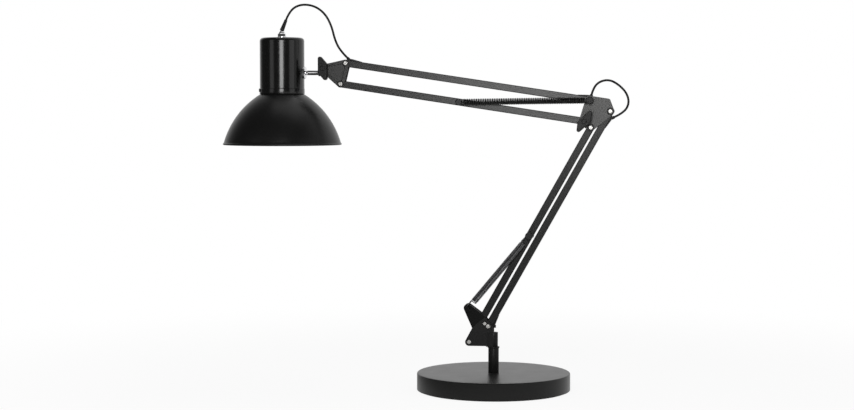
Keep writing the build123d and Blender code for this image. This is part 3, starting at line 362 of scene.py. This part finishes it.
# edge rounds on the pressed and moulded pieces, in metres
edgeRounds = {
    "bracket_shell": 0.00025, "spring_levers": 0.00025, "elbow_plates": 0.0003,
    "head_plates": 0.0003, "lower_cord_inserts": 0.0003, "upper_cord_inserts": 0.0003,
    "elbow_washers": 0.0001, "elbow_rings": 0.00015, "head_rings": 0.00015,
    "rod_eye": 0.0002, "rod_nut": 0.0003, "chrome_rod": 0.0002,
    "lower_right_bushes": 0.0002, "lower_left_bushes": 0.0002,
    "upper_top_bushes": 0.0002, "upper_bottom_bushes": 0.0002,
    "socket_tube": 0.0003, "socket_bush": 0.0003,
    "lower_right_tube": 0.00012, "lower_left_tube": 0.00012,
    "upper_top_tube": 0.00012, "upper_bottom_tube": 0.00012,
}
rounding = {"weld": 0.000002, "segments": 2, "sharperThan": 38.0}  # metres, faces and degrees


def roundEdges():
    for name, width in edgeRounds.items():
        node = frame["nodes"][name]
        weld = node.modifiers.new("weld", "WELD")
        weld.merge_threshold = rounding["weld"]
        bevel = node.modifiers.new("edgeRound", "BEVEL")
        bevel.width, bevel.segments = width, rounding["segments"]
        bevel.limit_method, bevel.angle_limit = "ANGLE", math.radians(rounding["sharperThan"])
        bevel.harden_normals = True
    print("edges rounded:", len(edgeRounds))


sharpFrom = 34.0  # degrees between faces from which a turned or wound piece has a sharp edge
tiny = 1e-7  # metres, nearer to the axis than which a ring is one point


def newPiece(name, vertices, faces, finish):
    mesh = bpy.data.meshes.new(name)
    mesh.from_pydata([tuple(v) for v in vertices], [], faces)
    mesh.update()
    edit = bmesh.new()
    edit.from_mesh(mesh)
    bmesh.ops.recalc_face_normals(edit, faces=edit.faces)
    edit.to_mesh(mesh)
    edit.free()
    mesh.shade_smooth()
    mesh.set_sharp_from_angle(angle=math.radians(sharpFrom))
    piece = bpy.data.objects.new(name, mesh)
    bpy.context.collection.objects.link(piece)
    mesh.materials.append(finishes[finish])
    return piece


def arc(centre, radius, first, last, steps):
    # points of an arc in (radius, height), angles in degrees
    turns = [math.radians(first + (last - first) * k / steps) for k in range(steps + 1)]
    return [(centre[0] + radius * math.cos(t), centre[1] + radius * math.sin(t)) for t in turns]


def flatSide(t):
    # how much further out than the middle of a flat a hexagon lies at the angle t
    return 1 / math.cos((t + math.pi / 6) % (math.pi / 3) - math.pi / 6)


def lathe(name, profile, axis, finish, steps, hexagon=()):
    # a closed outline of (radius, height) turned about an upright line at axis; the rings whose
    # numbers are in hexagon have six flats
    single = [r < tiny for r, z in profile]
    vertices, faces, starts = [], [], []
    for i, (r, z) in enumerate(profile):
        starts.append(len(vertices))
        for k in range(1 if single[i] else steps):
            t = 2 * math.pi * k / steps
            reach = r * flatSide(t) if i in hexagon else r
            vertices.append((axis[0] + reach * math.cos(t), axis[1] + reach * math.sin(t), z))
    for i in range(len(profile)):
        j = (i + 1) % len(profile)
        a, b = starts[i], starts[j]
        if single[i] and single[j]:
            continue
        for k in range(steps):
            n = (k + 1) % steps
            if single[i]:
                faces.append((a, b + k, b + n))
            elif single[j]:
                faces.append((a + k, b, a + n))
            else:
                faces.append((a + k, b + k, b + n, a + n))
    print(name, "turned,", len(profile), "rings")
    return newPiece(name, vertices, faces, finish)


def framesAlong(points):
    # each point of the line with a pair of steady directions square to the line
    frames, side = [], None
    for i, point in enumerate(points):
        ahead = (points[min(i + 1, len(points) - 1)] - points[max(i - 1, 0)]).normalized()
        if side is None:
            side = ahead.orthogonal().normalized()
        side = (side - ahead * side.dot(ahead)).normalized()
        frames.append((point, side, ahead.cross(side)))
    return frames


def tubeMesh(name, frames, radii, sides, finish):
    # a closed round tube with a radius for each frame
    vertices, faces = [], []
    for (point, u, v), radius in zip(frames, radii):
        for k in range(sides):
            t = 2 * math.pi * k / sides
            vertices.append(point + u * (radius * math.cos(t)) + v * (radius * math.sin(t)))
    for i in range(len(frames) - 1):
        for k in range(sides):
            n = (k + 1) % sides
            a, b = i * sides, (i + 1) * sides
            faces.append((a + k, a + n, b + n, b + k))
    faces.append(tuple(range(sides)))
    faces.append(tuple((len(frames) - 1) * sides + k for k in range(sides)))
    return newPiece(name, vertices, faces, finish)


def walked(points):
    # the distance along the line at each of its points
    distances = [0.0]
    for a, b in zip(points, points[1:]):
        distances.append(distances[-1] + (b - a).length)
    return distances


# the two loops of cord, each point a step in x and z from a pivot, in metres; each stretch between two shares of
# the length, between two listed bodies, is made as its own piece
headCord = {
    "node": "head_cord", "pivot": "head_bracket_pivot",
    "steps": [(-0.08765, 0.06220), (-0.08191, 0.07606), (-0.0666, 0.0846), (-0.0466, 0.0826),
              (-0.0306, 0.0711), (-0.0211, 0.0531), (-0.0166, 0.0341), (-0.0091, 0.0186),
              (0.0019, 0.0076)],
    "bodies": ["head", "head_knuckle", "head_bracket", "upper_top_arm"],
    "shares": [0.0, 0.50, 0.79, 1.0],
}
elbowCord = {
    "node": "elbow_cord", "pivot": "elbow_pivot",
    "steps": [(-0.0267, 0.0235), (-0.0235, 0.0346), (-0.0138, 0.0426), (-0.0008, 0.0441),
              (0.0122, 0.0365), (0.0229, 0.0248), (0.0259, 0.0108), (0.0187, -0.0017),
              (0.0052, -0.0081)],
    "bodies": ["upper_top_arm", "elbow", "lower_right_arm"],
    "shares": [0.0, 0.5, 1.0],
}
cordShape = {"diameter": 0.0031, "sides": 20, "overlap": 0.0012, "order": 3, "perStep": 14}


def routeOf(cord):
    return [pivots[cord["pivot"]] + Vector((x, 0, z)) for x, z in cord["steps"]]


def splineOf(route):
    # the smooth line that a cord follows, read from a spline with no thickness
    curve = bpy.data.curves.new("routeLine", "CURVE")
    curve.dimensions, curve.resolution_u = "3D", cordShape["perStep"]
    spline = curve.splines.new("NURBS")
    spline.points.add(len(route) - 1)
    for point, place in zip(spline.points, route):
        point.co = (*place, 1)
    spline.order_u, spline.use_endpoint_u = cordShape["order"], True
    line = bpy.data.objects.new("routeLine", curve)
    bpy.context.collection.objects.link(line)
    bpy.context.view_layer.update()
    drawn = line.evaluated_get(bpy.context.evaluated_depsgraph_get())
    points = [vertex.co.copy() for vertex in bpy.data.meshes.new_from_object(drawn).vertices]
    bpy.data.objects.remove(line)
    return points


def addCord(cord):
    points = splineOf(routeOf(cord))
    distances, frames = walked(points), framesAlong(points)
    diameter, overlap = cordShape["diameter"], cordShape["overlap"]
    for k, (first, second) in enumerate(zip(cord["bodies"], cord["bodies"][1:])):
        low, high = [share * distances[-1] for share in cord["shares"][k:k + 2]]
        stretch = [f for f, d in zip(frames, distances) if low - overlap <= d <= high + overlap]
        path = [point for point, u, v in stretch]
        piece = tubeMesh(f"{cord['node']}_{k + 1}", stretch, [diameter / 2] * len(stretch),
                         cordShape["sides"], "cordSheath")
        walked(path)[-1]
        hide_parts(cord["node"])
        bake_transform(piece)
    print(cord["node"], "laid,", round(distances[-1], 4), "m")


# springs, in metres: wire radius, turns, where hook and coil end, and the two bodies with the share of its length
# between them
upperSpring = {
    "node": "upper_spring", "finish": "springBlack", "wire": 0.00105, "turns": 68,
    "lead": 0.0072, "shank": 0.0012,
    "bodies": ("elbow", "upper_bottom_arm"), "zone": (0.0, 0.32),
}
lowerSprings = {
    "node": "lower_springs", "finish": "springBright", "wire": 0.00065, "turns": 62,
    "lead": 0.0140, "shank": 0.0080,
    "bodies": ("lower_bracket", "lower_left_arm"), "zone": (0.0, 0.70),
}
# all springs: outside radius, hook radius and its arc in degrees, and where the coil starts
coilShape = {"outside": 0.00475, "hook": 0.0033, "hookArc": (-60.0, -270.0), "hookSteps": 26,
             "startAngle": 50.0, "perTurn": 20, "easeSteps": 14, "sides": 10}


def springLine(length, spring):
    # hook, coil and hook along +x between studs at 0 and length, the hooks lying in the xy plane
    ahead, hook, lead = Vector((1, 0, 0)), coilShape["hook"], spring["lead"]
    radius = coilShape["outside"] - spring["wire"]
    first = math.radians(coilShape["startAngle"])
    total = 2 * (math.pi * spring["turns"] - first)
    count = int(spring["turns"] * coilShape["perTurn"])
    coil = []
    for k in range(count + 1):
        phase = first + total * k / count
        x = lead + (length - 2 * lead) * k / count
        coil.append(Vector((x, radius * math.cos(phase), radius * math.sin(phase))))
    turn = arc((0, 0), hook, *coilShape["hookArc"], coilShape["hookSteps"])
    head = [Vector((x, y, 0)) for x, y in turn + [(spring["shank"], hook)]]
    tail = [Vector((length - p.x, p.y, p.z)) for p in reversed(head)]
    rise = (coil[1] - coil[0]).normalized()
    fall = (coil[-1] - coil[-2]).normalized()
    into = easeBetween(head[-1], ahead, coil[0], rise, coilShape["easeSteps"])
    out = easeBetween(coil[-1], fall, tail[0], ahead, coilShape["easeSteps"])
    return head + into + coil + out + tail


def easeBetween(start, along, end, arriving, steps):
    # points between two ends of wire that leave and arrive in their directions
    reach = (end - start).length
    points = []
    for k in range(1, steps):
        t = k / steps
        points.append(start * (1 + 2 * t) * (1 - t)**2 + end * t * t * (3 - 2 * t)
                      + along * (reach * t * (1 - t)**2) - arriving * (reach * t * t * (1 - t)))
    return points


def addSpring(name, spring, start, end, y):
    # the ends are points in x and z, and the whole spring lies at y
    start, end = [Vector((point.x, y, point.z)) for point in (start, end)]
    span = end - start
    along = span.normalized()
    across = Vector((-along.z, 0, along.x))
    turn = Matrix((along, across, along.cross(across))).transposed()
    line = [start + turn @ p for p in springLine(span.length, spring)]
    piece = tubeMesh(name, framesAlong(line), [spring["wire"]] * len(line), coilShape["sides"],
                     spring["finish"])
    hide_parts(spring["node"])
    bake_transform(piece)
    print(name, "wound,", spring["turns"], "turns")


def middleOf(node):
    low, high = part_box(node)
    return (low + high) / 2


def addSprings():
    addSpring("balance_spring_upper", upperSpring, pivots["upper_arm"],
              middleOf("upper_spring_screw"), middleOf("upper_spring").y)
    low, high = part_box("lower_springs")
    peg, bolt, half = middleOf("lever_pegs"), middleOf("lower_spring_bolt"), coilShape["outside"]
    addSpring("balance_spring_front", lowerSprings, peg, bolt, low.y + half)
    addSpring("balance_spring_back", lowerSprings, peg, bolt, high.y - half)


housingLow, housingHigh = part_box("head_housing")
headAxis = (middleOf("shade").x, 0.0)
headSteps = 256  # faces round the housing and the shade

# cylindrical housing, in metres; bandTop is where the band at its foot steps out: how far out,
# and how far up in shares of the band's round
housingShape = {
    "wall": 0.0010, "edge": 0.0050, "edgeSteps": 14, "innerSteps": 8, "hole": 0.0049,
    "band": 0.0072, "bandOut": 0.0004, "bandRound": 0.0008, "bandSteps": 8,
    "bandTop": ((0.0, 0.9), (0.0001, 0.45), (0.00035, 0.1), (0.0004, -0.3)),
}


def addHousing():
    shape, low, high = housingShape, housingLow.z, housingHigh.z
    wide = (housingHigh.x - housingLow.x) / 2
    outer, edge, foot = wide - shape["bandOut"], shape["edge"], shape["bandRound"]
    corner = (outer - edge, high - edge)
    profile = [(shape["hole"], high)]
    profile += arc(corner, edge, 90, 0, shape["edgeSteps"])
    profile += [(outer + out, low + shape["band"] + foot * up) for out, up in shape["bandTop"]]
    profile += arc((wide - foot, low + foot), foot, 0, -90, shape["bandSteps"])
    profile += [(outer - shape["wall"], low)]
    profile += arc(corner, edge - shape["wall"], 0, 90, shape["innerSteps"])
    profile += [(shape["hole"], high - shape["wall"])]
    piece = lathe("head_can", profile, headAxis, "housingLacquer", headSteps)
    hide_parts("head_housing")
    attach(piece, "head")


# spun shade, in metres: radii of neck, mouth and bowl, and the bead rolled round its rim
shadeShape = {
    "neck": 0.0309, "mouth": 0.0845, "bowl": 0.1203, "bowlSteps": 40, "wall": 0.0009,
    "neckRise": 0.012, "rim": 0.0013, "beadArc": (62, -242), "beadSteps": 20,
}


def bowlLine(gap):
    # the shade's generating arc from neck to mouth, moved inward by gap
    shape = shadeShape
    neckZ, mouthZ = housingLow.z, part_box("shade")[0].z + shape["rim"]
    middle = ((shape["neck"] + shape["mouth"]) / 2, (neckZ + mouthZ) / 2)
    dr, dz = shape["mouth"] - shape["neck"], mouthZ - neckZ
    chord = math.hypot(dr, dz)
    back = math.sqrt(shape["bowl"]**2 - (chord / 2)**2)
    centre = (middle[0] + back * dz / chord, middle[1] - back * dr / chord)
    radius = shape["bowl"] - gap
    first = math.degrees(math.acos((shape["neck"] - gap - centre[0]) / radius))
    last = math.degrees(math.asin((mouthZ - centre[1]) / radius))
    return arc(centre, radius, first, last, shape["bowlSteps"])


def addShade():
    shape = shadeShape
    outside, inside = bowlLine(0.0), bowlLine(shape["wall"])
    neckTop = housingLow.z + shape["neckRise"]
    mouth = ((outside[-1][0] + inside[-1][0]) / 2, outside[-1][1])
    profile = [(outside[0][0], neckTop)] + outside[:-1]
    profile += arc(mouth, shape["rim"], *shape["beadArc"], shape["beadSteps"])
    whiteFrom = len(profile) - 2
    profile += list(reversed(inside[:-1])) + [(inside[0][0], neckTop)]
    piece = lathe("spun_shade", profile, headAxis, "shadeLacquer", headSteps)
    piece.data.materials.append(finishes["whiteEnamel"])
    for i, face in enumerate(piece.data.polygons):
        face.material_index = int(whiteFrom <= i // headSteps < len(profile) - 1)
    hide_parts("shade")
    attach(piece, "head")


# lamp bulb, in metres: ball up to the angle shoulder, then a bend into the neck
bulbShape = {
    "ball": 0.030, "ballSteps": 40, "shoulder": 38.0, "bend": 0.012, "bendSteps": 12,
    "neck": 0.013, "neckLength": 0.006, "flare": 0.0006, "flareLength": 0.004, "wall": 0.0010,
    "steps": 96,
}


def bulbSide(gap):
    # the outline from the ball's lowest point to the top of the neck, moved inward by gap
    shape, (low, high) = bulbShape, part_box("bulb")
    neck, neckZ = shape["neck"] - gap, high.z - shape["neckLength"]
    points = arc((0, low.z + shape["ball"]), shape["ball"] - gap, -90, shape["shoulder"],
                 shape["ballSteps"])
    points[0] = (0.0, points[0][1])
    start, end = points[-1], (neck + shape["flare"], neckZ - shape["flareLength"])
    slope = math.radians(shape["shoulder"] + 90)
    guide = (start[0] + shape["bend"] * math.cos(slope), start[1] + shape["bend"] * math.sin(slope))
    for k in range(1, shape["bendSteps"] + 1):
        t = k / shape["bendSteps"]
        a, b, c = (1 - t)**2, 2 * t * (1 - t), t * t
        points.append(tuple(a * start[i] + b * guide[i] + c * end[i] for i in (0, 1)))
    return points + [(neck, neckZ), (neck, high.z)]


def addBulb():
    profile = bulbSide(0.0) + list(reversed(bulbSide(bulbShape["wall"])))
    piece = lathe("lamp_bulb", profile, headAxis, "frostedGlass",
                  bulbShape["steps"])
    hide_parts("bulb")
    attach(piece, "head")


# cord nipple, in metres: washer, six flats and dome, with radius and height above the housing
nippleShape = {
    "bore": 0.0018, "spigot": 0.0049, "washer": (0.0068, 0.0016), "flats": (0.0054, 0.0058),
    "dome": 0.0046, "domeTo": 60, "domeSteps": 10, "mouth": 0.0026, "round": 0.0004, "steps": 72,
}


def addNipple():
    low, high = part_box("cord_nipple")
    top, shape = housingHigh.z, nippleShape
    washer, washerTop = shape["washer"]
    flats, flatsTop = shape["flats"]
    bevel = shape["round"]
    profile = [(shape["bore"], low.z), (shape["spigot"], low.z), (shape["spigot"], top),
               (washer - bevel, top), (washer, top + bevel), (washer, top + washerTop - bevel),
               (washer - bevel, top + washerTop)]
    flatRings = [len(profile) + k for k in range(3)]
    profile += [(flats, top + washerTop), (flats, top + flatsTop - bevel),
                (flats - bevel, top + flatsTop)]
    profile += arc((0.0, top + flatsTop), shape["dome"], 0, shape["domeTo"], shape["domeSteps"])
    profile += [(shape["mouth"], high.z), (shape["bore"], high.z)]
    piece = lathe("cord_nipple_turned", profile, headAxis, "chromePlate",
                  shape["steps"], flatRings)
    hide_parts("cord_nipple")
    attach(piece, "head")


# tapered sleeve round the cord, in metres: radii, rib depth, and the share of it that is ribbed
sleeve = {"foot": 0.0032, "tip": 0.0022, "rib": 0.00025, "ribs": 7, "ribbed": (0.18, 0.90),
          "sunk": 0.0004, "steps": 90, "sides": 28}


def addSleeve():
    low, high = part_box("strain_relief")
    tip, beyond = routeOf(headCord)[:2]
    lean, side = (beyond - tip).normalized(), Vector((0, 1, 0))
    foot = tip - lean * ((tip.z - low.z) / lean.z + sleeve["sunk"])
    first, last = sleeve["ribbed"]
    frames, radii = [], []
    for k in range(sleeve["steps"] + 1):
        t = k / sleeve["steps"]
        radius = sleeve["foot"] + (sleeve["tip"] - sleeve["foot"]) * t
        if first < t < last:
            wave = math.sin(2 * math.pi * sleeve["ribs"] * (t - first) / (last - first))
            radius -= sleeve["rib"] * max(wave, 0.0)
        frames.append((foot + (tip - foot) * t, side, lean.cross(side)))
        radii.append(radius)
    piece = tubeMesh("cord_sleeve", frames, radii, sleeve["sides"], "nylon")
    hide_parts("strain_relief")
    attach(piece, "head")
    print("cord_sleeve made,", sleeve["ribs"], "ribs")


# lid of the base, in metres; rings are the radii where its flat top is divided
baseShape = {
    "hole": 0.0050, "rings": (0.030, 0.060, 0.090), "edge": 0.0016, "edgeSteps": 10,
    "sideRing": 0.012, "foot": 0.0008, "footSteps": 5, "wall": 0.0012, "innerEdge": 0.00052,
    "innerSteps": 4, "steps": 288,
}


def addBaseCover():
    low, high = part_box("base_cover")
    shape, radius = baseShape, (high.x - low.x) / 2
    foot, inner = shape["foot"] / 2, radius - shape["wall"]
    corner = (radius - shape["edge"], high.z - shape["edge"])
    profile = [(r, high.z) for r in (shape["hole"], *shape["rings"])]
    profile += arc(corner, shape["edge"], 90, 0, shape["edgeSteps"])
    profile += [(radius, low.z + shape["sideRing"])]
    profile += arc((radius - foot, low.z + foot), foot, 0, -90, shape["footSteps"])
    profile += [(inner, low.z), (inner, corner[1])]
    profile += arc(corner, shape["innerEdge"], 0, 90, shape["innerSteps"])[1:]
    profile += [(shape["hole"], high.z - shape["wall"])]
    piece = lathe("base_lid", profile, (0.0, 0.0), "baseLacquer", shape["steps"])
    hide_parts("base_cover")
    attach(piece, "base")


# paper floor, in metres from its middle: it glows white where it is seen, a little less near the
# lamp, and on its left it looks dark when metal or lacquer mirrors it
floorPaper = {
    "half": 30.0, "drop": 0.00005, "light": (0.86, 0.86, 0.86), "dark": (0.83, 0.83, 0.83),
    "grain": 3.0, "near": 0.35, "far": 1.2, "nearGlow": 0.90,
    "mirrorFrom": -0.45, "mirrorTo": 0.05, "leftMirror": 0.12,
}


def addFloor():
    half = floorPaper["half"]
    mesh = bpy.data.meshes.new("studioFloor")
    mesh.from_pydata([(-half, -half, 0), (half, -half, 0), (half, half, 0), (-half, half, 0)], [],
                     [(0, 1, 2, 3)])
    floor = bpy.data.objects.new("studioFloor", mesh)
    floor.location.z = -floorPaper["drop"]
    bpy.context.collection.objects.link(floor)
    paper = newFinish("studioPaper")
    away = paper.vectors("LENGTH", {0: paper.place()}, "Value")
    far = paper.ramp(away, floorPaper["near"], floorPaper["far"], floorPaper["nearGlow"], 1.0)
    tint = paper.between(paper.noise(floorPaper["grain"]), floorPaper["dark"], floorPaper["light"])
    plain = paper.make("ShaderNodeBsdfPrincipled", None, {
        "Base Color": tint, "Roughness": 1.0, "Specular IOR Level": 0.0})
    across = paper.make("ShaderNodeSeparateXYZ", None, {0: paper.place()}, "X")
    mirrored = paper.ramp(across, floorPaper["mirrorFrom"], floorPaper["mirrorTo"],
                          floorPaper["leftMirror"], 1.0)
    white = paper.make("ShaderNodeEmission", None, {"Strength": 1.0})
    black = paper.make("ShaderNodeEmission", None, {"Strength": 0.0})
    glow = paper.make("ShaderNodeMixShader", None, {
        0: paper.anyRay("Is Glossy Ray") * (1 - mirrored), 1: white, 2: black})
    shown = paper.anyRay("Is Camera Ray", "Is Glossy Ray", "Is Transmission Ray")
    paper.close(paper.make("ShaderNodeMixShader", None, {0: shown * far, 1: plain, 2: glow}))
    mesh.materials.append(paper.owner)
    print("floor laid")


# sky: white where it is seen, and as a light a plain fill that gloss sees bright behind the
# lamp, along lean in x and y, and dim in front of it
skyLight = {"fill": 0.34, "front": 0.08, "lean": (0.35, 0.90), "dimAt": -0.10, "fullAt": 0.60}


def addSky():
    world = bpy.data.worlds.new("studioWorld")
    bpy.context.scene.world = world
    sky = Shading(world)
    heading = sky.make("ShaderNodeTexCoord", output="Generated")
    side, depth = [share * sky.make("ShaderNodeSeparateXYZ", None, {0: heading}, name)
                   for share, name in zip(skyLight["lean"], ("X", "Y"))]
    behind = sky.ramp(side + depth, skyLight["dimAt"], skyLight["fullAt"], skyLight["front"], 1.0)
    mirror = sky.anyRay("Is Glossy Ray")
    clear = sky.anyRay("Is Camera Ray", "Is Transmission Ray")
    light = mirror * behind + (1 - mirror) * skyLight["fill"]
    back = sky.make("ShaderNodeBackground", None, {
        "Color": (1, 1, 1, 1), "Strength": clear + (1 - clear) * light})
    sky.make("ShaderNodeOutputWorld", None, {"Surface": back})
    print("sky lit")


# lamps of the studio: metres, width and height of the panel, and watts
studioLamps = {
    "frontPanel": {"place": (-0.01, -1.75, 0.70), "aim": (-0.02, 0.0, 0.44),
                   "size": (0.55, 0.60), "watts": 15.0},
    "leftPanel": {"place": (-1.58, -1.41, 0.78), "aim": (-0.25, 0.0, 0.44),
                  "size": (0.70, 0.90), "watts": 2.6},
    "rightPanel": {"place": (1.40, -0.83, 0.78), "aim": (-0.10, 0.0, 0.40),
                   "size": (0.90, 0.90), "watts": 3.6},
    "ceiling": {"place": (0.0, 0.25, 2.30), "aim": (0.0, 0.0, 0.20),
                "size": (1.60, 1.60), "watts": 10.0},
}


def addLamps():
    for name, panel in studioLamps.items():
        data = bpy.data.lights.new(name, "AREA")
        data.shape, data.energy = "RECTANGLE", panel["watts"]
        data.size, data.size_y = panel["size"]
        lamp = bpy.data.objects.new(name, data)
        place, aim = Vector(panel["place"]), Vector(panel["aim"])
        lamp.location = place
        lamp.rotation_euler = (aim - place).to_track_quat("-Z", "Y").to_euler()
        lamp.visible_camera = False
        bpy.context.collection.objects.link(lamp)
    keepOff("frontPanel", "base_lid")
    print("studio lit with", len(studioLamps), "lamps")


def keepOff(lamp, piece):
    # the flat lid would mirror the front panel as one white patch, so that panel leaves it out
    flagged = bpy.data.collections.new("flagged")
    flagged.objects.link(bpy.data.objects[piece])
    flagged.collection_objects[0].light_linking.link_state = "EXCLUDE"
    bpy.data.objects[lamp].light_linking.receiver_collection = flagged


addCamera()
addCord(headCord)
addCord(elbowCord)
dressTubes()
dressNodes()
roundEdges()
addSprings()
addHousing()
addShade()
addBulb()
addNipple()
addSleeve()
addBaseCover()
addFloor()
addSky()
addLamps()
